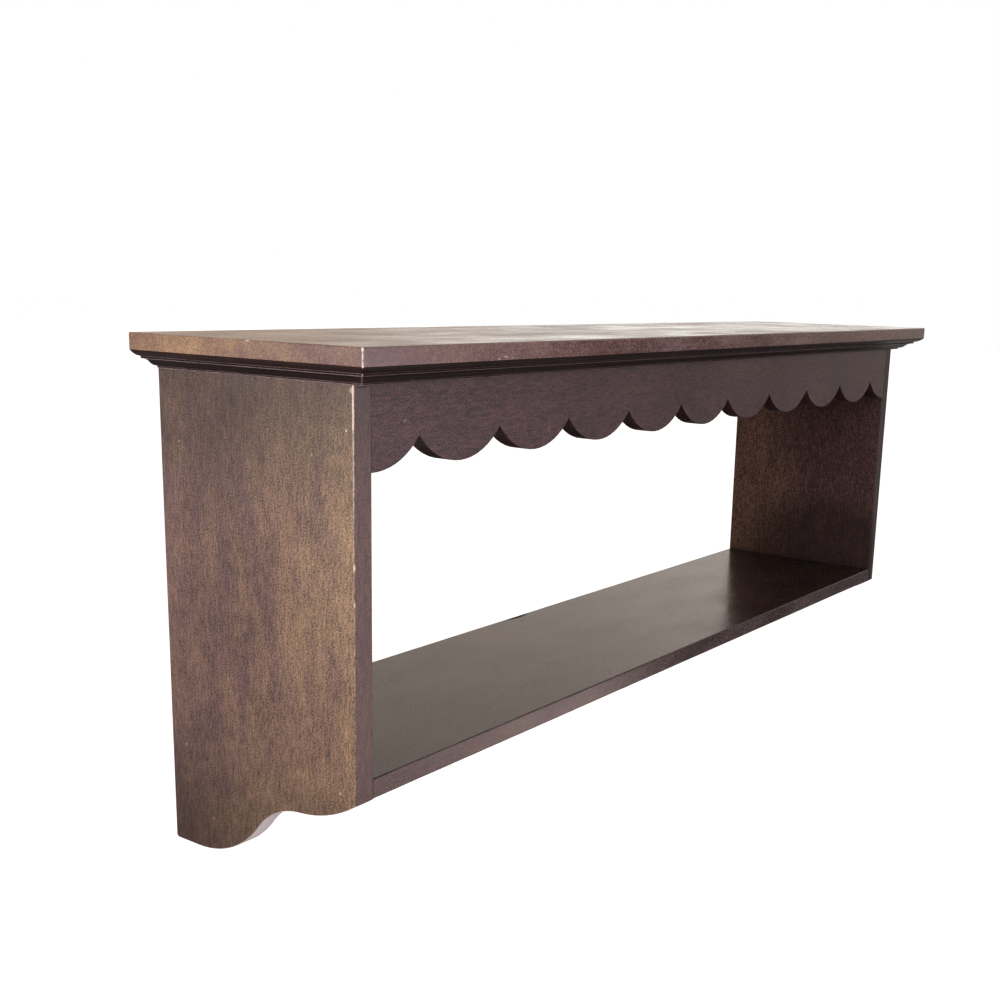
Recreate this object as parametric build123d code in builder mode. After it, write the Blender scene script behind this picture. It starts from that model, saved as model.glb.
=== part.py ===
from build123d import *
import math
import os

# Wall shelf: two side panels with S-curved feet, a lower shelf, a scalloped apron,
# and an overhanging top board on a moulded, mitred frame.
# Millimetres. X runs along the shelf, centred; the wall is the plane Y = 0 and the
# shelf stands out of it towards -Y; Z is up. The origin is midway between the two
# wall screw holes, on the back face of the hanging rail.

# ---- driving dimensions ----
carcass_width = 1000.0
carcass_depth = 208.0
side_thickness = 18.0
shelf_thickness = 16.0
apron_thickness = 16.0
rail_thickness = 18.0
rail_height = 60.0
bay_height = 292.0             # lower shelf's top face to the underside of the frame

# the S-curved foot: three tangent arcs from the front corner, then a short flat
foot_start_slope = 35.5        # degrees below level at the front corner
foot_waist_slope = 3.8         # degrees below level where the first arc ends
foot_steep_slope = 52.3        # degrees below level where the hollow ends
foot_front_radius = 117.0
foot_hollow_radius = 65.5
foot_heel_radius = 91.3
foot_corner_radius = 3.0

# the scalloped lower edge of the apron
scallop_count = 10             # pitches across the inner width
scallop_drop = 62.8            # frame's underside to the lowest point of a lobe
scallop_depth = 22.8           # lowest point of a lobe to the notch beside it
scallop_shift = 3.0            # the row of lobes was set out slightly to the right

# the top board and the moulded frame under it
top_thickness = 18.0
top_side_overhang = 25.3
top_front_overhang = 33.5
top_square_edge = 13.0         # height of the square part of the board's edge
top_edge_under = 8.8           # how far the rounded part runs in under the board
top_edge_bulge = 0.9           # how far that rounding stands out of a plain bevel
frame_thickness = 9.5
frame_width = 56.0
frame_side_projection = 15.5   # outermost line of the moulding past the panel's face
frame_front_extra = 8.2        # the front length stands this much further out
mould_fillet = 2.0             # height of the square fillet at the moulding's top
mould_step = 0.9               # the ogee starts this far behind the fillet
mould_foot = 1.5               # height of the square foot of the moulding
mould_foot_projection = 0.5    # the foot's projection past the panel's face

# joinery
dowel_radius = 4.0
dowel_length = 36.0
dowel_in_side = 11.0
dowel_chamfer = 0.8
shelf_dowels_out = (178.0, 104.0, 30.0)    # distances out from the wall
short_board_dowels_up = (15.0, -15.0)      # heights in the ends of the apron and the rail
screw_radius = 2.0
screw_head_radius = 4.0
screw_slot_width = 1.0
screw_slot_depth = 1.0
screw_point_length = 4.0
clearance_radius = 2.25
carcass_screw_length = 35.0
top_screw_length = 20.0
side_screws_out = (185.0, 104.0, 30.0)     # distances out from the wall
apron_screws_along = (-440.0, -150.0, 150.0, 440.0)
rail_screws_along = (-300.0, 0.0, 300.0)
top_screws_along = (-360.0, -120.0, 120.0, 360.0)
top_screw_inset = 11.0                     # in from the inner edges of the frame
front_top_screw_inset = 8.0                # the same in its front length
block_leg = 15.0
block_length = 60.0
block_positions = (-240.0, 0.0, 240.0)
wall_hole_spacing = 800.0
wall_hole_radius = 2.75
wall_hole_head_radius = 5.5

# eased edges
board_edge = 1.0
fine_edge = 0.5

# ---- levels and faces worked out from them ----
half_width = carcass_width / 2
inner_half = half_width - side_thickness
inner_width = 2 * inner_half
front_y = -carcass_depth
carcass_top = rail_height / 2
shelf_top = carcass_top - bay_height
shelf_bottom = shelf_top - shelf_thickness
frame_top = carcass_top + frame_thickness
board_top = frame_top + top_thickness
frame_half = half_width + frame_side_projection
frame_front_y = front_y - frame_front_extra - frame_side_projection
frame_inner_half = frame_half - frame_width
frame_inner_y = frame_front_y + frame_width

# where the dowels sit, as (y, z) on the side panels' inner faces
shelf_dowels = [(-out, shelf_top - shelf_thickness / 2) for out in shelf_dowels_out]
apron_dowels = [(front_y + apron_thickness / 2, z) for z in short_board_dowels_up]
rail_dowels = [(-rail_thickness / 2, z) for z in short_board_dowels_up]

# where the screws sit, as (x, y)
side_screws = [(half_width - side_thickness / 2, -out) for out in side_screws_out]
apron_screws = [(x, front_y + apron_thickness / 2) for x in apron_screws_along]
rail_screws = [(x, -rail_thickness / 2) for x in rail_screws_along]
frame_screws = side_screws + [(-x, y) for x, y in side_screws] + apron_screws + rail_screws
front_top_screws = [(x, frame_inner_y - front_top_screw_inset) for x in top_screws_along]
rear_top_screws = [(x, top_screw_inset - frame_width) for x in top_screws_along]
side_top_screws = [(side * (frame_inner_half + top_screw_inset), front_y / 2) for side in (1, -1)]
top_screws_at = front_top_screws + rear_top_screws + side_top_screws

os.makedirs("parts", exist_ok=True)


def save(solid, name):
    """Label one finished piece and write it to its own STEP file."""
    solid.label = name
    export_step(solid, f"parts/{name}.step")


def drill(places, plane, radius, depth):
    """Blind holes in the current part, going against the plane's normal."""
    with BuildSketch(plane) as holes:
        with Locations(*places):
            Circle(radius)
    extrude(holes.sketch, amount=-depth, mode=Mode.SUBTRACT)


def end_plane(x):
    """A plane across the shelf's length at x, whose axes are the model's Y and Z."""
    return Plane(origin=(x, 0, 0), x_dir=(0, 1, 0), z_dir=(1, 0, 0))


# ---- side panels ----
def panel_outline():
    """The panel seen from its side: straight front, top and back, S-curved foot."""
    slope = math.radians(foot_start_slope)
    front = JernArc(start=(front_y, shelf_bottom), tangent=(math.cos(slope), -math.sin(slope)),
                    radius=foot_front_radius, arc_size=foot_start_slope - foot_waist_slope)
    hollow = JernArc(start=front @ 1, tangent=front % 1, radius=foot_hollow_radius,
                     arc_size=foot_waist_slope - foot_steep_slope)
    heel = JernArc(start=hollow @ 1, tangent=hollow % 1, radius=foot_heel_radius,
                   arc_size=foot_steep_slope)
    foot = heel @ 1
    Polyline(foot, (0, foot.Y), (0, carcass_top), (front_y, carcass_top), (front_y, shelf_bottom))


def side_panel(side):
    """side is -1 for the left panel and 1 for the right one."""
    inner_face = end_plane(side * inner_half)
    with BuildPart() as panel:
        with BuildSketch(inner_face) as outline:
            with BuildLine():
                panel_outline()
            make_face()
            heel_corner = outline.vertices().group_by(Axis.X)[-1].sort_by(Axis.Y)[0]
            fillet(heel_corner, foot_corner_radius)
        extrude(amount=side * side_thickness)
        faces_across = panel.faces().filter_by(Axis.X).sort_by(Axis.X)
        inner, outer = (faces_across[-1], faces_across[0]) if side < 0 else faces_across
        outer_edges = outer.edges().group_by(Axis.Z)[:-1]
        inner_edges = inner.edges().group_by(Axis.Z)[:-1]
        fillet([edge for group in outer_edges for edge in group], board_edge)
        fillet([edge for group in inner_edges for edge in group], fine_edge)
        drill(shelf_dowels + apron_dowels + rail_dowels, inner_face, dowel_radius,
              -side * dowel_in_side)
        pilots = [(side * x, y) for x, y in side_screws]
        drill(pilots, Plane.XY.offset(carcass_top), screw_radius,
              carcass_screw_length - frame_thickness)
    return panel.part


save(side_panel(-1), "left_side_panel")
save(side_panel(1), "right_side_panel")


# ---- boards between the panels ----
def drill_both_ends(places):
    """Dowel holes in the current part, in from both of its ends."""
    depth = dowel_length - dowel_in_side
    for side in (-1, 1):
        drill(places, end_plane(side * inner_half), dowel_radius, side * depth)


with BuildPart() as lower_shelf:
    with BuildSketch(Plane.XY.offset(shelf_bottom)):
        with Locations((0, front_y / 2)):
            Rectangle(inner_width, carcass_depth)
    extrude(amount=shelf_thickness)
    fillet(lower_shelf.edges().filter_by(Axis.X), board_edge)
    drill_both_ends(shelf_dowels)
save(lower_shelf.part, "lower_shelf")

lobe_pitch = inner_width / scallop_count
lobe_radius = ((lobe_pitch / 2) ** 2 + scallop_depth ** 2) / (2 * scallop_depth)
lobe_centres = [(-inner_half + scallop_shift + lobe_pitch * k,
                 carcass_top - scallop_drop + lobe_radius) for k in range(scallop_count + 1)]

with BuildPart() as scalloped_apron:
    with BuildSketch(Plane.XZ.offset(-front_y)):
        with Locations(*lobe_centres):
            Circle(lobe_radius)
        with Locations((0, carcass_top - scallop_drop)):
            Rectangle(inner_width, scallop_drop, align=(Align.CENTER, Align.MIN),
                      mode=Mode.INTERSECT)
    extrude(amount=-apron_thickness)
    drill_both_ends(apron_dowels)
    drill(apron_screws, Plane.XY.offset(carcass_top), screw_radius,
          carcass_screw_length - frame_thickness)
save(scalloped_apron.part, "scalloped_apron")

with BuildPart() as hanging_rail:
    with BuildSketch(Plane.XZ):
        Rectangle(inner_width, rail_height)
    extrude(amount=rail_thickness)
    fillet(hanging_rail.edges().filter_by(Axis.X).group_by(Axis.Z)[0], board_edge)
    with Locations(Plane.XZ.offset(rail_thickness)):
        with Locations((-wall_hole_spacing / 2, 0), (wall_hole_spacing / 2, 0)):
            CounterSinkHole(wall_hole_radius, wall_hole_head_radius)
    drill_both_ends(rail_dowels)
    drill(rail_screws, Plane.XY.offset(carcass_top), screw_radius,
          carcass_screw_length - frame_thickness)
save(hanging_rail.part, "hanging_rail")


# ---- the moulded frame under the top board ----
def moulded_section(inner_edge, outer_edge, face):
    """Half a frame member's outline; face is where the carcass below it ends."""
    out = 1 if outer_edge > inner_edge else -1
    fillet_foot = (outer_edge, frame_top - mould_fillet)
    ogee_start = (outer_edge - out * mould_step, frame_top - mould_fillet)
    ogee_end = (face + out * mould_foot_projection, carcass_top + mould_foot)
    ogee_middle = ((ogee_start[0] + ogee_end[0]) / 2, (ogee_start[1] + ogee_end[1]) / 2)
    Polyline(ogee_end, (ogee_end[0], carcass_top), (inner_edge, carcass_top),
             (inner_edge, frame_top), (outer_edge, frame_top), fillet_foot, ogee_start)
    hollow = TangentArc(ogee_start, ogee_middle, tangent=(-out, 0))
    TangentArc(hollow @ 1, ogee_end, tangent=hollow % 1)


def frame_holes(down, up):
    """Countersunk holes through the current member, from above and from below."""
    if down:
        with Locations(Plane.XY.offset(frame_top)):
            with Locations(*down):
                CounterSinkHole(clearance_radius, screw_head_radius, frame_thickness)
    with Locations(Plane(origin=(0, 0, carcass_top), x_dir=(1, 0, 0), z_dir=(0, 0, -1))):
        with Locations(*[(x, -y) for x, y in up]):
            CounterSinkHole(clearance_radius, screw_head_radius, frame_thickness)


with BuildPart() as cornice_front:
    with BuildSketch(end_plane(-frame_half)):
        with BuildLine():
            moulded_section(frame_inner_y, frame_front_y, front_y - frame_front_extra)
        make_face()
    extrude(amount=2 * frame_half)
    for side in (-1, 1):
        corner = (side * frame_inner_half, frame_inner_y, 0)
        split(bisect_by=Plane(origin=corner, z_dir=(side, 1, 0)), keep=Keep.BOTTOM)
    frame_holes(apron_screws, front_top_screws)
save(cornice_front.part, "cornice_front")


def cornice_side(side):
    """side is -1 for the left length and 1 for the right one."""
    with BuildPart() as member:
        with BuildSketch(Plane.XZ):
            with BuildLine():
                moulded_section(side * frame_inner_half, side * frame_half, side * half_width)
            make_face()
        extrude(amount=-frame_front_y)
        corner = (side * frame_inner_half, frame_inner_y, 0)
        split(bisect_by=Plane(origin=corner, z_dir=(side, 1, 0)), keep=Keep.TOP)
        frame_holes([(side * x, y) for x, y in side_screws],
                    [place for place in side_top_screws if place[0] * side > 0])
    return member.part


save(cornice_side(-1), "cornice_left")
save(cornice_side(1), "cornice_right")

with BuildPart() as frame_rear_member:
    with BuildSketch(Plane.XY.offset(carcass_top)):
        with Locations((0, -frame_width / 2)):
            Rectangle(2 * frame_inner_half, frame_width)
    extrude(amount=frame_thickness)
    frame_holes(rail_screws, rear_top_screws)
save(frame_rear_member.part, "frame_rear_member")


# ---- top board ----
def board_edge_section(reach):
    """One end of the board's section: reach is its outermost point along the section."""
    out = 1 if reach > 0 else -1
    square_foot = (reach, board_top - top_square_edge)
    run_in = (reach - out * top_edge_under, frame_top)
    middle = ((square_foot[0] + run_in[0]) / 2, (square_foot[1] + run_in[1]) / 2)
    length = math.hypot(run_in[0] - square_foot[0], run_in[1] - square_foot[1])
    bulge = (middle[0] + out * top_edge_bulge * (square_foot[1] - run_in[1]) / length,
             middle[1] - top_edge_bulge * abs(run_in[0] - square_foot[0]) / length)
    ThreePointArc(square_foot, bulge, run_in)
    return square_foot, run_in


board_half = half_width + top_side_overhang
board_front_y = front_y - top_front_overhang

with BuildPart() as top_board:
    with BuildSketch(Plane.XZ):
        with BuildLine():
            left_foot, left_in = board_edge_section(-board_half)
            right_foot, right_in = board_edge_section(board_half)
            Line(left_in, right_in)
            Polyline(right_foot, (board_half, board_top), (-board_half, board_top), left_foot)
        make_face()
    extrude(amount=-board_front_y)
    with BuildSketch(end_plane(-board_half)):
        with BuildLine():
            front_foot, front_in = board_edge_section(board_front_y)
            Polyline(front_in, (0, frame_top), (0, board_top), (board_front_y, board_top),
                     front_foot)
        make_face()
    extrude(amount=2 * board_half, mode=Mode.INTERSECT)
    top_face = top_board.faces().sort_by(Axis.Z)[-1]
    fillet(top_face.edges().sort_by(Axis.Y)[:-1], board_edge)
    drill(top_screws_at, Plane.XY.offset(frame_top), screw_radius,
          frame_thickness - top_screw_length)
save(top_board.part, "top_board")


# ---- dowels ----
def dowel_group(side, places):
    """The dowels of one joint, each with chamfered ends."""
    with BuildPart() as dowels:
        with BuildSketch(end_plane(side * (inner_half + dowel_in_side))):
            with Locations(*places):
                Circle(dowel_radius)
        extrude(amount=-side * dowel_length)
        chamfer(dowels.edges().filter_by(GeomType.CIRCLE), dowel_chamfer)
    return dowels.part


for side, side_name in ((-1, "left"), (1, "right")):
    save(dowel_group(side, shelf_dowels), f"shelf_dowels_{side_name}")
    save(dowel_group(side, apron_dowels), f"apron_dowels_{side_name}")
    save(dowel_group(side, rail_dowels), f"rail_dowels_{side_name}")


# ---- glue blocks in the corners under the frame ----
def glue_block(x, back_y, into):
    """A triangular block; into is the direction in which it leaves the board behind it."""
    with BuildPart() as block:
        with BuildSketch(end_plane(x - block_length / 2)):
            with BuildLine():
                Polyline((back_y, carcass_top), (back_y + into * block_leg, carcass_top),
                         (back_y, carcass_top - block_leg), close=True)
            make_face()
        extrude(amount=block_length)
    return block.part


for number, x in enumerate(block_positions, start=1):
    save(glue_block(x, front_y + apron_thickness, 1), f"front_glue_block_{number}")
    save(glue_block(x, -rail_thickness, -1), f"rear_glue_block_{number}")


# ---- countersunk wood screws ----
def screw_group(places, head_z, point, length):
    """Slotted screws whose heads are flush at head_z; point is -1 down or 1 up."""
    head_height = screw_head_radius - screw_radius
    with BuildPart() as screws:
        for x, y in places:
            axis_plane = Plane(origin=(x, y, head_z), x_dir=(1, 0, 0), z_dir=(0, -point, 0))
            with BuildSketch(axis_plane):
                with BuildLine():
                    Polyline((0, 0), (screw_head_radius, 0), (screw_radius, head_height),
                             (screw_radius, length - screw_point_length), (0, length),
                             close=True)
                make_face()
            revolve(axis=Axis((x, y, head_z), (0, 0, 1)))
        with BuildSketch(Plane.XY.offset(head_z)):
            with Locations(*places):
                Rectangle(2 * screw_head_radius, screw_slot_width)
        extrude(amount=point * screw_slot_depth, mode=Mode.SUBTRACT)
    return screws.part


save(screw_group(frame_screws, frame_top, -1, carcass_screw_length), "frame_screws")
save(screw_group(top_screws_at, carcass_top, 1, top_screw_length), "top_screws")
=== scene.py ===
import math
import random

import bmesh
import bpy
from mathutils import Matrix, Vector, noise


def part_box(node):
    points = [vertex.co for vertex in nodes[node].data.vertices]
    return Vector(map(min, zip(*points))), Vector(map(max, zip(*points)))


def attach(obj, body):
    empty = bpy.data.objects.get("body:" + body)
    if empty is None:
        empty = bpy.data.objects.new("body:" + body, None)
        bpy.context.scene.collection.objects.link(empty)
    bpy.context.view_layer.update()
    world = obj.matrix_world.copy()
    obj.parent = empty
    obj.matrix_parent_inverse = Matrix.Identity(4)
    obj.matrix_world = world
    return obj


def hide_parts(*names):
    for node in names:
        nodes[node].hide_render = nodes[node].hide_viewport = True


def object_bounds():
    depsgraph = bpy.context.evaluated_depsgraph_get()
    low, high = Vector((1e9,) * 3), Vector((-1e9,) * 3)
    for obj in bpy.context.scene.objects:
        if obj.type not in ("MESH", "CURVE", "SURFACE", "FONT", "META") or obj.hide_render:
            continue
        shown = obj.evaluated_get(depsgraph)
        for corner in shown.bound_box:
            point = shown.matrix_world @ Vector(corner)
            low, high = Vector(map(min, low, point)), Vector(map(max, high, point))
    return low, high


# A stained-wood wall shelf. Metres, X along the shelf, the wall is y = 0, Z up.
# The boards that show most are rebuilt here from their own CAD outlines, with eased and
# worn arrises. The moulding, the rear members and the joinery keep their CAD meshes.
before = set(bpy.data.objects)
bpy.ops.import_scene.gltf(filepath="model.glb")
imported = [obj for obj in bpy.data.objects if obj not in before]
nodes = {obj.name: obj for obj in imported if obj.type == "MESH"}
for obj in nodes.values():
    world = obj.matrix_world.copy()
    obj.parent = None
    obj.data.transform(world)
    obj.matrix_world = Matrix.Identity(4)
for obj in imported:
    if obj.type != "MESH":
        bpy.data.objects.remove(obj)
cad_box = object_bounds()

MM = 0.001
WIDEST_ARRIS = 2.5             # mm, the bevel that an edge weight of 1 stands for
COARSE_STEP = 6.0 * MM         # spacing of the points along a board's outline
FINE_STEP = 0.9 * MM           # the same beside a chip
CHIP_MARGIN = 1.6              # times a chip's reach, how far the closer points go on
CORNER_ROOM = 3.0 * MM         # plain length kept beside each sharp corner
SAME_POINT = 1e-6              # m, points nearer together than this are one point
ON_CUT = 1e-7                  # m, points nearer than this to a cutting plane lie on it
AT_END = 0.1 * MM              # a point this near to an end or an edge counts as on it
STRAIGHT = math.radians(0.4)   # an outline that turns less than this runs straight on
CORNER = math.radians(20)      # one that turns more than this has a sharp corner
CREASE = math.radians(48)      # pieces are shaded smooth across angles smaller than this


# ---- wear: chips, bruises and scars, and a patch of painted shade, placed from the boards' own corners ----
class Mark:
    """An ellipsoid where a board is worn, or, low on the right panel, where shade is painted.
    reach is its three radii in mm, bare and dark are how far bare wood or a dark mark shows
    in it, from 0 to 1 (dark is dirt and cracks, and on the right panel painted shade), and
    bite is how much more (mm) the arris is rounded there."""

    def __init__(self, centre, reach, bare=0.0, dark=0.0, bite=0.0):
        self.centre = Vector(centre)
        self.reach = Vector(reach) * MM
        self.bare = bare
        self.dark = dark
        self.bite = bite

    def nearness(self, point, margin=1.0):
        """1 at the centre, 0 at margin times the reach and beyond."""
        off = point - self.centre
        scaled = Vector(off[i] / (self.reach[i] * margin) for i in range(3))
        return max(0.0, 1.0 - scaled.length)


def spot(corner, offset):
    """A point given in millimetres from a corner of the frame."""
    return Vector(corner) + Vector(offset) * MM


board_low, board_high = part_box("top_board")
panel_low, panel_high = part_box("left_side_panel")
apron_low, apron_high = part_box("scalloped_apron")
shelf_low, shelf_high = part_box("lower_shelf")
board_corner = (board_low.x, board_low.y, board_high.z)
panel_corner = (panel_low.x, panel_low.y, panel_high.z)
apron_corner = (apron_low.x, apron_low.y, apron_high.z)
shelf_corner = (shelf_low.x, shelf_low.y, shelf_high.z)
shelf_right = (shelf_high.x, shelf_low.y, shelf_high.z)

marks = {
    "top_board": [
        Mark(spot(board_corner, (0, 0, -1)), (1.6, 2.0, 2.4), bare=1.0, bite=1.2),
        Mark(spot(board_corner, (0, 0, -7)), (1.0, 1.0, 13), bare=0.5),
        Mark(spot(board_corner, (0, 0, -13)), (1.5, 1.5, 1.4), bare=1.0),
        Mark(spot(board_corner, (0, 110, 0)), (1.2, 4.5, 1.2), bare=1.0, bite=0.6),
        Mark(spot(board_corner, (0, 96, 0)), (0.9, 2.0, 0.9), bare=0.8, bite=0.3),
        Mark(spot(board_corner, (145, 0, -12)), (2.0, 0.8, 0.8), bare=0.8),
        Mark(spot(board_corner, (153, 0, -10.6)), (3.6, 0.8, 0.9), bare=0.8),
        Mark(spot(board_corner, (161, 0, -11.6)), (2.0, 0.8, 0.8), bare=0.6),
    ],
    "left_side_panel": [
        Mark(spot(panel_corner, (0, 0, -14)), (1.3, 1.3, 30), bare=0.9, bite=0.5),
        Mark(spot(panel_corner, (0, 0, -50)), (0.9, 0.9, 60), bare=0.5),
        Mark(spot(panel_corner, (0, 0, -4)), (1.5, 4, 3), bare=0.45),
        Mark(spot(panel_corner, (0, 0, -128)), (1.2, 1.3, 4), bare=0.9, bite=0.6),
        Mark(spot(panel_corner, (0, 0, -155)), (1.1, 1.2, 2.6), bare=0.8, bite=0.5),
        Mark(spot(panel_corner, (0, 7, -32)), (1.0, 1.0, 1.0), bare=1.0),
        Mark(spot(panel_corner, (0, 27, -198)), (1.0, 0.8, 1.0), bare=0.5),
        Mark(spot(panel_corner, (0, 41, -52)), (1.0, 0.7, 0.8), bare=0.5),
        Mark(spot(panel_corner, (0, 186, -55)), (1.0, 0.8, 0.9), bare=0.5),
        Mark(spot(panel_corner, (0, 16, -302)), (1.0, 1.6, 1.0), bare=0.6),
        Mark(spot(panel_corner, (0, 160, -361)), (1.0, 0.8, 1.0), bare=0.5),
        Mark(spot(panel_corner, (0, 191, -304)), (1.0, 1.2, 1.4), bare=0.5),
        Mark(spot(panel_corner, (9, 0, -2)), (7, 1.5, 0.5), dark=0.5),
    ],
    "right_side_panel": [
        # not wear but painted shade, low down on its inner face
        Mark(spot(shelf_right, (0, 68, 0)), (18, 150, 120), dark=0.6),
    ],
    "scalloped_apron": [
        Mark(spot(apron_corner, (2, 0, -5.6)), (4, 1.5, 0.5), dark=0.4),
        Mark(spot(apron_corner, (215, 0, -47)), (0.9, 1.0, 5.0), bare=0.35),
        Mark(spot(apron_corner, (35, 0, -28)), (2.0, 1.0, 1.8), bare=0.2),
    ],
    "lower_shelf": [
        Mark(spot(shelf_corner, (12, 0, 0)), (22, 1.2, 1.2), dark=0.9),
        Mark(spot(shelf_corner, (452, 207, 0)), (24, 6.5, 2.6), dark=1.0, bite=0.5),
    ],
}


# ---- outlines taken from the CAD frame ----
def section(node, through, at):
    """The outline where the plane (axis number through) = at cuts a CAD node, in order."""
    normal = Vector((0, 0, 0))
    normal[through] = 1.0
    bm = bmesh.new()
    bm.from_mesh(nodes[node].data)
    bmesh.ops.remove_doubles(bm, verts=bm.verts, dist=SAME_POINT)
    cut = bmesh.ops.bisect_plane(bm, geom=[*bm.verts, *bm.edges, *bm.faces], dist=ON_CUT,
                                 plane_co=normal * at, plane_no=normal)["geom_cut"]
    left = [e for e in cut if isinstance(e, bmesh.types.BMEdge)]
    loops = []
    while left:
        loop = list(left.pop(0).verts)
        following = True
        while following:
            following = [e for e in loop[-1].link_edges if e in left]
            if following:
                left.remove(following[0])
                loop.append(following[0].other_vert(loop[-1]))
        loops.append([v.co.copy() for v in loop])
    bm.free()
    longest = max(loops, key=lambda loop: sum((b - a).length for a, b in zip(loop, loop[1:])))
    return without_straight_points(longest[:-1])


def turn(before, here, after):
    """The angle through which a closed outline turns at one of its points."""
    return (here - before).angle(after - here, 0.0)


def without_straight_points(loop):
    """The outline without the points where it runs straight on."""
    return [p for i, p in enumerate(loop)
            if turn(loop[i - 1], p, loop[(i + 1) % len(loop)]) > STRAIGHT]


def spaced(start, end, local_marks, corner_start, corner_end):
    """Points from start up to but not including end, closer together beside a chip."""
    length = (end - start).length
    first = CORNER_ROOM if corner_start else 0.0
    last = length - (CORNER_ROOM if corner_end else 0.0)
    at, stops = first, [0.0]
    while at < last:
        if at > 0:
            stops.append(at)
        here = start.lerp(end, at / length)
        chipped = any(m.bite and m.nearness(here, CHIP_MARGIN) > 0 for m in local_marks)
        at += FINE_STEP if chipped else COARSE_STEP
    return [start.lerp(end, stop / length) for stop in stops]


def resampled(loop, local_marks):
    """The outline with extra points, and for each point whether it is a sharp corner."""
    corners = [turn(loop[i - 1], p, loop[(i + 1) % len(loop)]) > CORNER
               for i, p in enumerate(loop)]
    points, is_corner = [], []
    for i, start in enumerate(loop):
        j = (i + 1) % len(loop)
        made = spaced(start, loop[j], local_marks, corners[i], corners[j])
        points += made
        is_corner += [corners[i]] + [False] * (len(made) - 1)
    return points, is_corner


# ---- boards ----
def arris_weight(radius, point, local_marks):
    """The bevel weight for an arris of this radius (mm), uneven from wear, more at a chip."""
    if not radius:
        return 0.0
    long_waves = 0.35 * noise.noise(point * 55.0)
    short_waves = 0.15 * noise.noise(point * 240.0)
    bite = sum(m.bite * m.nearness(point) for m in local_marks)
    return min(1.0, (radius * (1.0 + long_waves + short_waves) + bite) / WIDEST_ARRIS)


def finish_piece(bm, name, replaced, materials):
    """The finished piece: bevelled arrises, smooth with flat faces, riding on the shelf."""
    bmesh.ops.recalc_face_normals(bm, faces=bm.faces)
    for face in bm.faces:
        face.smooth = True
    mesh = bpy.data.meshes.new(name)
    bm.to_mesh(mesh)
    bm.free()
    for material in materials:
        mesh.materials.append(material)
    piece = bpy.data.objects.new(name, mesh)
    bpy.context.scene.collection.objects.link(piece)
    bevel = piece.modifiers.new("arrises", "BEVEL")
    bevel.limit_method = "WEIGHT"
    bevel.width = WIDEST_ARRIS * MM
    bevel.segments = 4
    bevel.use_clamp_overlap = False
    graph = bpy.context.evaluated_depsgraph_get()
    piece.data = bpy.data.meshes.new_from_object(piece.evaluated_get(graph), depsgraph=graph)
    piece.modifiers.clear()
    piece.data.set_sharp_from_angle(angle=CREASE)
    normals = piece.modifiers.new("flat_faces", "WEIGHTED_NORMAL")
    normals.keep_sharp = True
    normals.weight = 100
    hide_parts(replaced)
    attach(piece, "root")
    return piece


def board(node, through, clear_of_holes, arris, materials, under=None):
    """A board with its node's outline, as thick as the node along the axis through.
    clear_of_holes is where the outline is taken, beside the dowel and pilot holes.
    arris(kind, point) is an edge's radius in mm: kind is "low" or "high" for the edges of
    the face at the low or high end of that axis, or "across" for the edges between them.
    under, for the top board, lists (inset, z) of the rounded part below its square edge.
    A second material, a darker copy that paints shade, is for that part and the underside,
    or on another board for its edge faces."""
    local = marks.get(node, [])
    low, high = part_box(node)
    outline, corners = resampled(section(node, through, clear_of_holes), local)
    bm = bmesh.new()
    weights = bm.edges.layers.float.new("bevel_weight_edge")

    def ring(level, inset=0.0):
        made = []
        for point in outline:
            p = point.copy()
            p[through] = level
            if inset:
                p.x = min(max(p.x, low.x + inset), high.x - inset)
                p.y = max(p.y, low.y + inset)
            made.append(bm.verts.new(p))
        return made

    def wall(one, other, slot):
        count = len(one)
        for i in range(count):
            j = (i + 1) % count
            bm.faces.new((one[i], one[j], other[j], other[i])).material_index = slot

    def ease(ring_verts, kind):
        for i, vert in enumerate(ring_verts):
            edge = bm.edges.get((vert, ring_verts[(i + 1) % len(ring_verts)]))
            middle = (edge.verts[0].co + edge.verts[1].co) / 2
            edge[weights] = arris_weight(arris(kind, middle), middle, local)

    top = ring(high[through])
    foot = ring(under[0][1] if under else low[through])
    bm.faces.new(top)
    wall(top, foot, 0 if under else len(materials) - 1)
    ease(top, "high")
    ease(foot, "low")
    for upper, lower, is_corner in zip(top, foot, corners):
        if is_corner:
            middle = (upper.co + lower.co) / 2
            bm.edges.get((upper, lower))[weights] = arris_weight(
                arris("across", middle), middle, local)
    last = foot
    for inset, level in (under or [])[1:]:
        following = ring(level, inset)
        wall(last, following, 1)
        last = following
    bm.faces.new(last).material_index = 1 if under else 0
    if under:
        bmesh.ops.remove_doubles(bm, verts=bm.verts, dist=SAME_POINT)
        bmesh.ops.dissolve_degenerate(bm, dist=SAME_POINT, edges=bm.edges)
    return finish_piece(bm, node + "_wood", node, materials)


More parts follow.
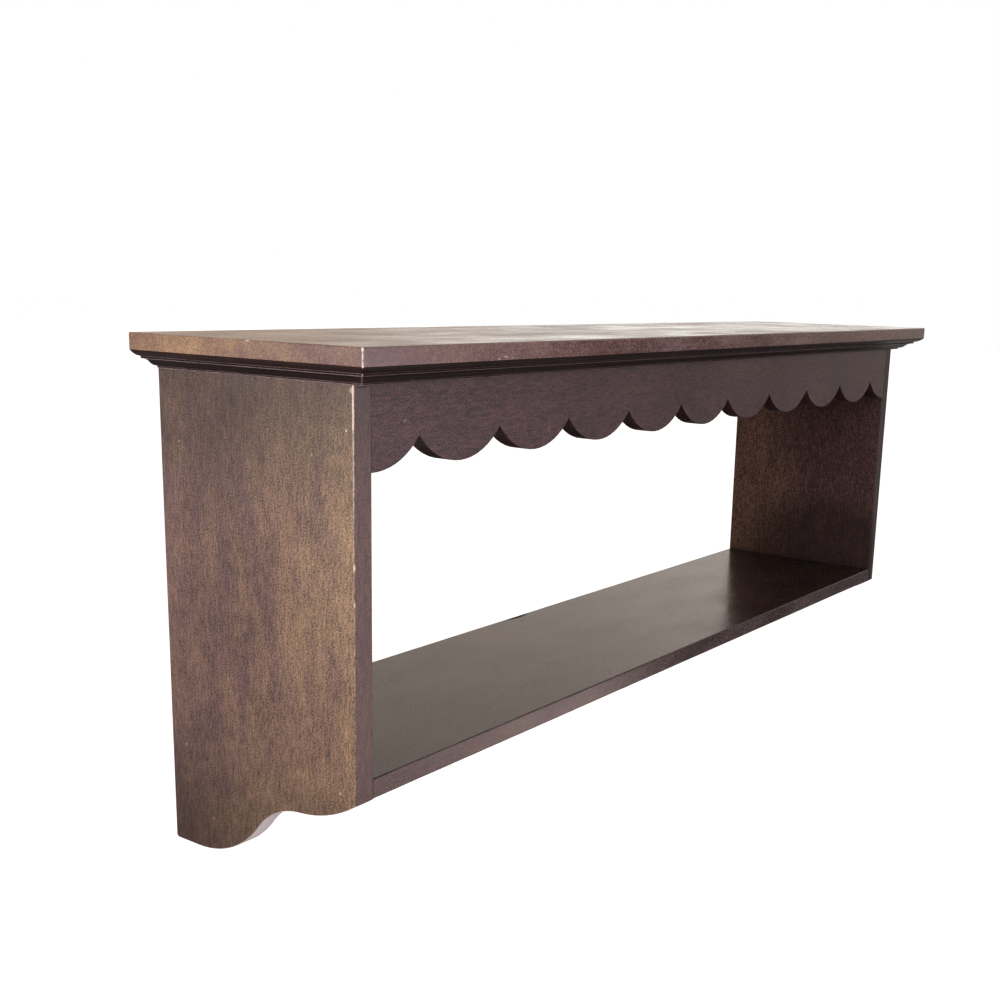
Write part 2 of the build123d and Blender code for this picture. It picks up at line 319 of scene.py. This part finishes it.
# ---- shader building blocks ----
class Graph:
    """Adds nodes to one node tree and joins them up; every helper returns an output socket."""

    def __init__(self, tree):
        self.tree = tree
        tree.nodes.clear()

    def node(self, kind, **settings):
        made = self.tree.nodes.new(kind)
        for key, value in settings.items():
            setattr(made, key, value)
        return made

    def feed(self, socket, value):
        """Link a socket to another node's output, or set it to a plain value."""
        if isinstance(value, bpy.types.NodeSocket):
            self.tree.links.new(value, socket)
        else:
            socket.default_value = value

    def math(self, operation, a, b=0.0, clamp=False):
        made = self.node("ShaderNodeMath", operation=operation, use_clamp=clamp)
        self.feed(made.inputs[0], a)
        self.feed(made.inputs[1], b)
        return made.outputs[0]

    def vector(self, operation, a, b=(0.0, 0.0, 0.0), output=0):
        made = self.node("ShaderNodeVectorMath", operation=operation)
        self.feed(made.inputs[0], a)
        self.feed(made.inputs[1], b)
        return made.outputs[output]

    def span(self, value, low, high, to_low=0.0, to_high=1.0):
        """Smoothly maps value from low..high to to_low..to_high."""
        made = self.node("ShaderNodeMapRange", interpolation_type="SMOOTHSTEP")
        for socket, given in zip(made.inputs, (value, low, high, to_low, to_high)):
            self.feed(socket, given)
        return made.outputs[0]

    def noise(self, vector, scale, detail=2.0, roughness=0.5, distortion=0.0):
        made = self.node("ShaderNodeTexNoise")
        self.feed(made.inputs["Vector"], vector)
        made.inputs["Scale"].default_value = scale
        made.inputs["Detail"].default_value = detail
        made.inputs["Roughness"].default_value = roughness
        made.inputs["Distortion"].default_value = distortion
        return made.outputs["Fac"]

    def mapped(self, vector, scale, offset=(0.0, 0.0, 0.0), lean=(0.0, 0.0, 0.0)):
        """The coordinates scaled along each axis, turned by lean and moved by offset."""
        made = self.node("ShaderNodeMapping")
        self.feed(made.inputs["Vector"], vector)
        made.inputs["Location"].default_value = offset
        made.inputs["Rotation"].default_value = lean
        made.inputs["Scale"].default_value = scale
        return made.outputs[0]

    def mix(self, factor, a, b, blend="MIX"):
        made = self.node("ShaderNodeMix", data_type="RGBA", blend_type=blend)
        self.feed(made.inputs[0], factor)
        self.feed(made.inputs[6], a)
        self.feed(made.inputs[7], b)
        return made.outputs[2]

    def warped(self, vector, scale, amount, offset=(0.0, 0.0, 0.0)):
        """The coordinates pushed about by up to amount, in eddies of the given scale."""
        eddies = self.node("ShaderNodeTexNoise")
        self.feed(eddies.inputs["Vector"], self.mapped(vector, (1, 1, 1), offset))
        eddies.inputs["Scale"].default_value = scale
        push = self.node("ShaderNodeVectorMath", operation="SCALE")
        self.feed(push.inputs[0], self.vector("SUBTRACT", eddies.outputs["Color"],
                                              (0.5, 0.5, 0.5)))
        push.inputs["Scale"].default_value = 2 * amount
        return self.vector("ADD", vector, push.outputs[0])

    def grey(self, value):
        made = self.node("ShaderNodeCombineColor")
        for socket in made.inputs:
            self.feed(socket, value)
        return made.outputs[0]

    def split(self, vector):
        made = self.node("ShaderNodeSeparateXYZ")
        self.feed(made.inputs[0], vector)
        return made.outputs


def rgb(red, green, blue):
    return (red, green, blue, 1.0)


# ---- wood ----
# the dark, middle and light colours of each wood
STAIN = (rgb(0.041, 0.022, 0.024), rgb(0.062, 0.035, 0.028), rgb(0.102, 0.062, 0.033))
RED_STAIN = (rgb(0.041, 0.017, 0.020), rgb(0.064, 0.028, 0.026), rgb(0.112, 0.058, 0.040))
BEECH = (rgb(0.42, 0.26, 0.15), rgb(0.52, 0.34, 0.21), rgb(0.60, 0.42, 0.27))
PINE = (rgb(0.46, 0.28, 0.13), rgb(0.58, 0.39, 0.20), rgb(0.68, 0.49, 0.28))
BARE = rgb(0.26, 0.20, 0.165)
# near black: for dark pores, dark marks, and painted shade in recesses
SOOT_AND_SHADE = rgb(0.004, 0.003, 0.003)
DUST = rgb(0.50, 0.47, 0.45)
# noise drawn out along the grain: scale that way against the others, scale per metre,
# detail, roughness
PATCHES = (0.6, 17.0, 3.0, 0.55)
BANDS = (0.25, 60.0, 3.0, 0.6)
FLECKS = (0.25, 420.0, 3.0, 0.65)
STREAKS = (0.022, 300.0, 3.0, 0.6)
FIBRES = (0.1, 900.0, 2.0, 0.6)
PORES = (0.09, 1500.0, 1.0, 0.5)
# noise that isn't drawn out: scale per metre, detail, roughness
SPECKLE = (760.0, 2.0, 0.8)
DUST_SPECKS = (900.0, 1.0, 0.5)
RUB_PATCHES = (70.0, 3.0, 0.65)
TINT_SCALE = 480.0             # per metre, of the speckle's slight changes of hue
ARRIS_REACH = 1.0 * MM         # how near to an arris the wood is rubbed
RECESS_REACH = 14 * MM         # painted shade darkens where another surface is nearer than this
RELIEF = 0.12 * MM             # height of the relief from fibres and speckle


def worn(g, place, local, kind):
    """How much of a mark of one kind, bare or dark, shows at each point."""
    total = 0.0
    for mark in local:
        strength = getattr(mark, kind)
        if strength:
            off = g.vector("SUBTRACT", place, mark.centre)
            scaled = g.vector("DIVIDE", off, mark.reach)
            away = g.vector("LENGTH", scaled, output=1)
            total = g.math("MAXIMUM", total, g.span(away, 1.0, 0.55, 0.0, strength))
    return total


def wood(node, grain, seed, tone=1.0, roughness=0.42, gold=0.5, drift=(0, 0, 0), rubbed=0.5,
         front=1.0, rear=1.0, ends=0.0, patchy_sheen=0.16, combed=0.1, speckled=1.0,
         sparse=0.0, dusty=0.01, gloss=0.5, palette=STAIN, worn_to=BARE, part="stain"):
    """Wood with its grain along one axis, coloured for the board named by node. tone scales
    its colour, gold is how much of it has taken the stain thinly and drift how that changes
    per metre across the board (on the right panel that drift is painted light, lighter
    towards the rear), rubbed is how far its arrises are worn to the bare wood, front and rear
    are the tones of its front and rear edges against its faces, which are painted light and
    shade, ends is painted shade, how much darker the wood is at the two ends of the grain,
    patchy_sheen is how much its roughness varies, combed is the share of lengthwise streaks
    in that, speckled is how strong the fine speckle is, sparse is how far apart its light
    specks are (on the lower shelf these paint glints in its sheen), dusty is how much pale
    dust is in it, gloss is the specular level, worn_to is the colour of the worn arrises (on
    the moulding light enough to paint the highlight on its fillet too), and part ends the
    material's name."""
    rng = random.Random(seed)
    material = bpy.data.materials.new(node + "_" + part)
    material.use_nodes = True
    g = Graph(material.node_tree)
    place = g.node("ShaderNodeTexCoord").outputs["Object"]
    offset = [rng.uniform(-5, 5) for _ in range(3)]
    lean = [math.radians(rng.uniform(-1.5, 1.5)) for _ in range(3)]
    bent = g.warped(place, 5.0, 5 * MM, offset)

    def figure(stretch, scale, detail, rough):
        """Noise drawn out along the grain: stretch is its scale that way."""
        drawn = [stretch if axis == grain else 1.0 for axis in "XYZ"]
        return g.noise(g.mapped(bent, drawn, offset, lean), scale, detail, rough)

    patches = figure(*PATCHES)
    bands = figure(*BANDS)
    flecks = figure(*FLECKS)
    streaks = figure(*STREAKS)
    fibres = figure(*FIBRES)
    pores = figure(*PORES)
    speckle = g.noise(place, *SPECKLE)

    # the stain: dark and middling bands, thinner and lighter in patches and along the drift, which
    # on the right panel is painted light
    facing = g.node("ShaderNodeNewGeometry").outputs["Normal"]
    to_front = g.span(g.split(facing)[1], -0.4, -0.8)
    dark, medium, light = palette
    low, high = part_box(node)
    middle = (low + high) / 2
    colour = g.mix(g.span(g.math("ADD", g.math("MULTIPLY", bands, 0.7),
                                 g.math("MULTIPLY", flecks, 0.3)), 0.26, 0.72), dark, medium)
    across = g.vector("DOT_PRODUCT", g.vector("SUBTRACT", place, middle), drift, output=1)
    thin = g.math("ADD", g.math("ADD", g.math("MULTIPLY", patches, 0.5),
                                g.math("MULTIPLY", bands, 0.25)), g.math("ADD", across, 0.125))
    thin = g.math("SUBTRACT", thin, g.math("MULTIPLY", to_front, 0.4))
    colour = g.mix(g.span(thin, 0.60 - 0.4 * gold, 1.14 - 0.4 * gold), colour, light)

    # its shade: speckled, and different on the front and rear edges and towards the ends, which is
    # painted light and shade
    fine = g.math("ADD", g.math("MULTIPLY", flecks, 0.25),
                  g.math("ADD", g.math("MULTIPLY", fibres, 0.1), g.math("MULTIPLY", speckle, 0.65)))
    spread = 0.13 / speckled
    shade = g.span(fine, 0.5 + sparse - spread, 0.5 + sparse + spread,
                   (1 - 0.5 * min(speckled, 1.8)) * tone, (1 + 0.5 * speckled) * tone)
    shade = g.math("MULTIPLY", shade, g.span(to_front, 0.0, 1.0, 1.0, front))
    if rear != 1.0:
        shade = g.math("MULTIPLY", shade, g.span(g.split(facing)[1], 0.4, 0.8, 1.0, rear))
    shade = g.math("MULTIPLY", shade, g.span(patches, 0.32, 0.68, 0.92, 1.08))
    if ends:
        axis = "XYZ".index(grain)
        along = g.math("SUBTRACT", g.split(place)[axis], middle[axis])
        out = g.math("DIVIDE", g.math("ABSOLUTE", along), (high[axis] - low[axis]) / 2)
        shade = g.math("MULTIPLY", shade, g.span(out, 0.35, 0.95, 1.0, 1.0 - ends))
    colour = g.mix(1.0, colour, g.grey(shade), "MULTIPLY")

    # slight changes of hue, pale dust and dark pores
    tint = g.node("ShaderNodeTexNoise")
    g.feed(tint.inputs["Vector"], place)
    tint.inputs["Scale"].default_value = TINT_SCALE
    tinted = g.mix(1.0, colour, g.vector("ADD", tint.outputs["Color"], (0.5, 0.5, 0.5)), "MULTIPLY")
    colour = g.mix(0.12, colour, tinted)
    specks = g.noise(g.mapped(place, (1, 1, 1), (3.0, 1.0, 2.0)), *DUST_SPECKS)
    colour = g.mix(g.span(specks, 0.48, 0.68, 0.0, 2 * dusty), colour, DUST)
    pore = g.span(pores, 0.36, 0.28)
    colour = g.mix(g.math("MULTIPLY", pore, 0.3), colour, SOOT_AND_SHADE)

    # wear: rubbed arrises and the board's own marks, with painted shade in the recesses
    rounding = g.node("ShaderNodeBevel", samples=4)
    rounding.inputs["Radius"].default_value = ARRIS_REACH
    straight = g.vector("DOT_PRODUCT", rounding.outputs[0], facing, output=1)
    arris = g.span(straight, 0.985, 0.86)
    patchy = g.span(g.noise(place, *RUB_PATCHES), 0.62 - 0.3 * rubbed, 0.82 - 0.3 * rubbed)
    # painted shade: the wood is darkened where another surface is near, as in recesses
    recess = g.node("ShaderNodeAmbientOcclusion", samples=6).outputs["AO"]
    recess.node.inputs["Distance"].default_value = RECESS_REACH
    recess_shade = g.span(recess, 0.75, 0.15, 0.0, 0.85)
    rub = g.math("MULTIPLY", g.math("MULTIPLY", arris, patchy), min(rubbed, 0.5))
    rub = g.math("MULTIPLY", rub, g.math("SUBTRACT", 1.0, recess_shade))
    ragged = g.warped(place, 420.0, 0.8 * MM)
    bare = g.math("MAXIMUM", rub, worn(g, ragged, marks.get(node, []), "bare"))
    # dark marks: dirt and cracks, and on the right panel painted shade
    scar_and_shade = worn(g, ragged, marks.get(node, []), "dark")
    colour = g.mix(recess_shade, colour, SOOT_AND_SHADE)
    colour = g.mix(bare, colour, worn_to)
    colour = g.mix(scar_and_shade, colour, SOOT_AND_SHADE)

    # the surface: lacquer of uneven sheen over a fine relief, dry where it is worn
    shader = g.node("ShaderNodeBsdfPrincipled")
    g.feed(shader.inputs["Base Color"], colour)
    shader.inputs["Specular IOR Level"].default_value = gloss
    dulled = g.math("ADD", g.math("MULTIPLY", streaks, combed), g.math("ADD",
                    g.math("MULTIPLY", patches, 0.3), g.math("MULTIPLY", speckle, 0.7 - combed)))
    sheen = g.span(dulled, 0.38, 0.62,
                   roughness * (1 - patchy_sheen), roughness * (1 + patchy_sheen))
    dry = g.math("ADD", g.math("MULTIPLY", bare, 0.3), g.math("MULTIPLY", scar_and_shade, 0.7))
    g.feed(shader.inputs["Roughness"], g.math("ADD", sheen, dry))
    relief = g.math("SUBTRACT", g.math("ADD", g.math("MULTIPLY", fibres, 0.3 * combed),
                                       g.math("MULTIPLY", speckle, 0.9)),
                    g.math("MULTIPLY", pore, 0.2))
    bump = g.node("ShaderNodeBump")
    bump.inputs["Strength"].default_value = 0.5
    bump.inputs["Distance"].default_value = RELIEF
    g.feed(bump.inputs["Height"], relief)
    g.feed(bump.inputs["Normal"], rounding.outputs[0])
    g.feed(shader.inputs["Normal"], bump.outputs[0])
    g.feed(g.node("ShaderNodeOutputMaterial").inputs[0], shader.outputs[0])
    return material


def steel(name):
    """Screw steel with fine scratches and a little tarnish."""
    material = bpy.data.materials.new(name)
    material.use_nodes = True
    g = Graph(material.node_tree)
    place = g.node("ShaderNodeTexCoord").outputs["Object"]
    scratches = g.noise(g.mapped(place, (1.0, 0.08, 1.0)), 2600.0, 3.0, 0.7)
    tarnish = g.span(g.noise(place, 320.0, 4.0, 0.6), 0.45, 0.65)
    shader = g.node("ShaderNodeBsdfPrincipled")
    g.feed(shader.inputs["Base Color"],
           g.mix(tarnish, rgb(0.50, 0.48, 0.45), rgb(0.16, 0.11, 0.07)))
    g.feed(shader.inputs["Roughness"], g.span(scratches, 0.3, 0.7, 0.26, 0.50))
    shader.inputs["Metallic"].default_value = 1.0
    bump = g.node("ShaderNodeBump")
    bump.inputs["Strength"].default_value = 0.3
    bump.inputs["Distance"].default_value = 0.05 * MM
    g.feed(bump.inputs["Height"], scratches)
    g.feed(shader.inputs["Normal"], bump.outputs[0])
    g.feed(g.node("ShaderNodeOutputMaterial").inputs[0], shader.outputs[0])
    return material


# ---- the boards ----
def shelf_arris(kind, point):
    """The lower shelf: its long arrises are eased, its ends butt square on the panels."""
    at_end = abs(point.x) > abs(shelf_low.x) - AT_END
    return 0.0 if kind == "across" or at_end else 1.0


def apron_arris(kind, point):
    """The apron: only its lower arrises are eased, the rest butts on its neighbours."""
    at_end = abs(point.x) > abs(apron_low.x) - AT_END
    return 0.0 if kind == "across" or at_end or point.z > apron_high.z - AT_END else 0.45


def panel_arris(outer):
    """A side panel: its outer arrises are the rounder ones, and its top butts square."""
    def arris(kind, point):
        if point.z > panel_high.z - AT_END:
            return 0.0
        return 1.0 if kind == outer else 0.5
    return arris


def top_arris(kind, point):
    """The top board: well rounded above and at its corners, less below and at the wall."""
    if point.y > board_high.y - AT_END:
        return 0.5 if kind == "high" else 0.0
    return {"high": 1.3, "across": 1.0, "low": 0.35}[kind]


# the top board's rounded under-edge, from the foot of its square edge inwards
run = [p for p in section("top_board", 0, 0.0)
       if p.y < board_low.y + 20 * MM and p.z < board_high.z - 5 * MM]
under_edge = [(p.y - board_low.y, p.z) for p in sorted(run, key=lambda p: -p.z)]

BESIDE_HOLES = 2.5 * MM        # so near to a board's show face there are no holes
# The tones differ more than one stain would: part of each board's shade is in its tone.
# Painted shade also makes the top board's underside and the apron's edge faces darker
# copies of their wood, and the side panels darker towards their ends; painted light makes
# the right panel lighter towards its rear. The front edges' colours are painted light and
# shade, and the lower shelf's light specks paint glints in its sheen.
board("top_board", 2, board_high.z - BESIDE_HOLES, top_arris,
      [wood("top_board", "X", 11, 1.26, 0.24, gold=0.5, drift=(-0.2, 0.6, 0), front=1.36,
            patchy_sheen=0.6, combed=0.2, speckled=0.8),
       wood("top_board", "X", 11, 0.13, 0.45, gloss=0.04, rubbed=0.1, part="underside",
            dusty=0.002, palette=RED_STAIN)],
      under=under_edge)
board("left_side_panel", 0, panel_low.x + BESIDE_HOLES, panel_arris("low"),
      [wood("left_side_panel", "Z", 15, 1.00, gold=0.55, drift=(0, -1.1, -0.3), rubbed=0.6,
            ends=0.46, speckled=1.35)])
board("right_side_panel", 0, -panel_low.x - BESIDE_HOLES, panel_arris("high"),
      [wood("right_side_panel", "Z", 16, 0.66, gold=0.5, drift=(0, 4.6, 0), front=0.4,
            ends=0.4, speckled=1.7, gloss=0.2, dusty=0.003, palette=RED_STAIN)])
board("lower_shelf", 2, shelf_high.z - BESIDE_HOLES, shelf_arris,
      [wood("lower_shelf", "X", 17, 0.38, 0.21, rubbed=0.15, front=1.5, patchy_sheen=0.55,
            speckled=3.2, combed=0.0, sparse=0.05, dusty=0.004)])
board("scalloped_apron", 1, apron_low.y + BESIDE_HOLES, apron_arris,
      [wood("scalloped_apron", "X", 18, 0.46, 0.36, rubbed=0.3, speckled=3.0, gloss=0.33,
            palette=RED_STAIN),
       wood("scalloped_apron", "X", 18, 0.30, 0.5, gloss=0.1, rubbed=0.1, part="shaded_edge",
            dusty=0.003, palette=RED_STAIN)])

# ---- the moulded frame, the rail and the joinery keep their CAD meshes ----
beech = wood("shelf_dowels_left", "X", 21, palette=BEECH, rubbed=0.0)
pine = wood("front_glue_block_2", "X", 22, palette=PINE, rubbed=0.0)
screw_steel = steel("screw_steel")
# the moulding, like the top board's underside, is deep in shade and looks nearly black, so
# its tone is too, as painted shade, except on its ends at the wall; its light rubbed
# arrises paint the highlight on its fillet as well as wear
moulding = {"tone": 0.08, "gloss": 0.04, "rubbed": 1.3, "worn_to": rgb(0.48, 0.34, 0.38),
            "dusty": 0.002, "palette": RED_STAIN, "rear": 8.0}
carried = {
    "cornice_front": wood("cornice_front", "X", 12, **moulding),
    "cornice_left": wood("cornice_left", "Y", 13, **moulding),
    "cornice_right": wood("cornice_right", "Y", 14, **moulding),
    "hanging_rail": wood("hanging_rail", "X", 19, 0.8),
    "frame_rear_member": wood("frame_rear_member", "X", 20, 0.8),
    "dowels": beech,
    "glue_block": pine,
    "screws": screw_steel,
}
for name, node in nodes.items():
    for words, material in carried.items():
        if words in name:
            node.data.materials.clear()
            node.data.materials.append(material)


# ---- floor ----
# It glows white of its own, and neither lights the shelf nor shows in its sheen.
FLOOR_DROP = 0.85              # m from the shelf's feet down to the floor
FLOOR_SIZE = 60.0              # m
bpy.ops.mesh.primitive_plane_add(size=FLOOR_SIZE, location=(0, 0, cad_box[0].z - FLOOR_DROP))
floor = bpy.context.object
floor.name = "floor"
floor_material = bpy.data.materials.new("pale_floor")
floor_material.use_nodes = True
g = Graph(floor_material.node_tree)
shader = g.node("ShaderNodeBsdfPrincipled")
shader.inputs["Base Color"].default_value = rgb(0.8, 0.8, 0.8)
shader.inputs["Roughness"].default_value = 0.9
shader.inputs["Emission Color"].default_value = rgb(1, 1, 1)
shader.inputs["Emission Strength"].default_value = 0.85
g.feed(g.node("ShaderNodeOutputMaterial").inputs[0], shader.outputs[0])
floor.data.materials.append(floor_material)
floor.visible_diffuse = False
floor.visible_glossy = False


# ---- surroundings ----
# This isn't a plain studio. It imitates a room that the photo reflects but doesn't show:
# its bright and dark areas were placed and coloured until the shelf, seen from the camera
# below, came near the photo. Reflections and diffuse light see two different versions of
# it, and the camera sees neither, only white. All is by direction: across is 1 to the
# shelf's right end, depth is 1 into the wall and height is 1 straight up.
world = bpy.data.worlds.new("studio")
bpy.context.scene.world = world
world.use_nodes = True
g = Graph(world.node_tree)
across, depth, height = g.split(g.node("ShaderNodeTexCoord").outputs["Generated"])

# behind the shelf, a wall that is brighter to the right, most of all low down
level_wall = g.mix(g.span(across, 0.67, 0.84), rgb(0.68, 0.54, 0.43), rgb(1.47, 1.44, 1.36))
left_wall = g.mix(g.span(across, 0.0, 0.5), rgb(0.62, 0.57, 0.52), level_wall)
high_wall = g.mix(g.span(across, 0.80, 0.86), rgb(0.82, 0.68, 0.59), rgb(1.02, 0.88, 0.77))
backdrop = g.mix(g.span(height, 0.08, 0.20), left_wall, high_wall)

# in front of it, lamplight that ends at the right in a dark gap, and a dim room beyond that
shade_starts = g.span(height, -0.11, -0.26, 0.70, 0.800)
shade_ends = g.span(height, -0.11, -0.26, 0.80, 0.822)
low_lamp = g.mix(g.span(across, 0.68, 0.80), rgb(1.90, 1.35, 1.30), rgb(3.50, 2.65, 2.50))
high_lamp = g.mix(g.span(height, -0.10, -0.06), rgb(2.60, 2.60, 3.60), rgb(3.10, 2.65, 2.60))
lamp_side = g.mix(g.span(height, -0.14, -0.26), high_lamp, low_lamp)
room = g.mix(g.span(across, shade_starts, shade_ends), lamp_side, rgb(0.01, 0.01, 0.01))
beyond = g.mix(g.span(height, -0.13, -0.22), rgb(0.22, 0.19, 0.20), rgb(0.28, 0.21, 0.20))
beyond = g.mix(g.span(height, -0.055, -0.035), beyond, rgb(0.60, 0.58, 0.50))
room = g.mix(g.span(across, 0.882, 0.915), room, beyond)
level = g.mix(g.span(depth, -0.28, 0.02), room, backdrop)

# a ceiling above, dusk below
to_ceiling = g.span(height, 0.30, 0.55)
dusk_starts = g.span(depth, -0.45, -0.15, -0.46, -0.28)
dusk_ends = g.math("SUBTRACT", dusk_starts, 0.12)
to_dusk = g.span(height, dusk_starts, dusk_ends)

# in reflections: a bright floor, a dimmer left side, a lit patch above the horizon at the
# back left, and softer light above the horizon in front
glossy = g.mix(to_ceiling, level, rgb(0.75, 0.68, 0.62))
glossy = g.mix(to_dusk, glossy, rgb(0.030, 0.025, 0.030))
glossy = g.mix(g.span(height, -0.68, -0.76), glossy, rgb(5.2, 4.7, 4.7))
from_left = g.mix(1.0, glossy, rgb(0.40, 0.34, 0.30), "MULTIPLY")
glossy = g.mix(g.span(across, 0.1, -0.3), glossy, from_left)
high_left = g.math("MULTIPLY", g.span(height, -0.11, -0.06), g.span(depth, 0.50, 0.62))
high_left = g.math("MULTIPLY", high_left, g.span(across, -0.62, -0.71))
glossy = g.mix(high_left, glossy, rgb(1.7, 1.75, 1.5))
high_front = g.math("MULTIPLY", g.span(height, 0.03, 0.12), g.span(depth, -0.05, -0.25))
glossy = g.mix(high_front, glossy, rgb(1.15, 0.98, 0.90))

# as light on the wood: a darker ceiling, a lighter dusk, all of it dimmer, and warm light
# from behind at the left
diffuse = g.mix(to_ceiling, level, rgb(0.12, 0.12, 0.13))
diffuse = g.mix(to_dusk, diffuse, rgb(0.40, 0.36, 0.35))
diffuse = g.mix(1.0, diffuse, rgb(0.58, 0.55, 0.54), "MULTIPLY")
from_behind = g.math("MULTIPLY", g.span(depth, 0.1, 0.5), g.span(across, 0.6, 0.1))
diffuse = g.mix(from_behind, diffuse, rgb(0.72, 0.63, 0.56))

# the backdrop itself is white
ray = g.node("ShaderNodeLightPath").outputs
seen = g.mix(ray["Is Diffuse Ray"], glossy, diffuse)
seen = g.mix(ray["Is Camera Ray"], seen, rgb(1, 1, 1))
background = g.node("ShaderNodeBackground")
g.feed(background.inputs[0], seen)
g.feed(g.node("ShaderNodeOutputWorld").inputs[0], background.outputs[0])


def softbox(name, place, target, size, power, colour):
    """A square area light that faces target."""
    data = bpy.data.lights.new(name, "AREA")
    data.shape = "SQUARE"
    data.size = size
    data.energy = power
    data.color = colour
    lamp = bpy.data.objects.new(name, data)
    bpy.context.scene.collection.objects.link(lamp)
    lamp.location = place
    lamp.rotation_mode = "QUATERNION"
    lamp.rotation_quaternion = (Vector(target) - Vector(place)).to_track_quat("-Z", "Y")
    return lamp


# two lamps by the left end; the front one lights the wood without showing in its sheen
softbox("key", (-1.30, -0.25, 0.10), (-0.5, -0.15, -0.12), 0.5, 22.0, (1.0, 1.0, 0.94))
front_lamp = softbox("front", (-0.60, -0.62, 0.06), (-0.45, -0.24, 0.00), 0.25, 1.05,
                     (1.0, 0.95, 0.93))
front_lamp.visible_glossy = False

# ---- camera: beyond the shelf's left end, in front of it and just above its top ----
# Its place, angles and lens were fitted to the shelf's straight edges in the photo.
camera_place = (-1.13980, -0.82611, 0.09938)
yaw, pitch, roll = 0.9525, -0.2207, 0.0251      # radians: right of +Y, up, right side raised
ahead = Vector((math.sin(yaw) * math.cos(pitch), math.cos(yaw) * math.cos(pitch), math.sin(pitch)))
level_right = Vector((math.cos(yaw), -math.sin(yaw), 0.0))
level_up = level_right.cross(ahead)
right = math.cos(roll) * level_right + math.sin(roll) * level_up
up = right.cross(ahead)
camera_data = bpy.data.cameras.new("camera")
camera_data.lens = 46.06
camera_data.sensor_width = 36.0
camera_data.shift_x = -0.0429
camera_data.shift_y = 0.0725
camera = bpy.data.objects.new("camera", camera_data)
bpy.context.scene.collection.objects.link(camera)
turned = Matrix((right, up, -ahead)).transposed().to_4x4()
camera.matrix_world = Matrix.Translation(camera_place) @ turned
bpy.context.scene.camera = camera
bpy.context.scene.view_settings.view_transform = "Standard"
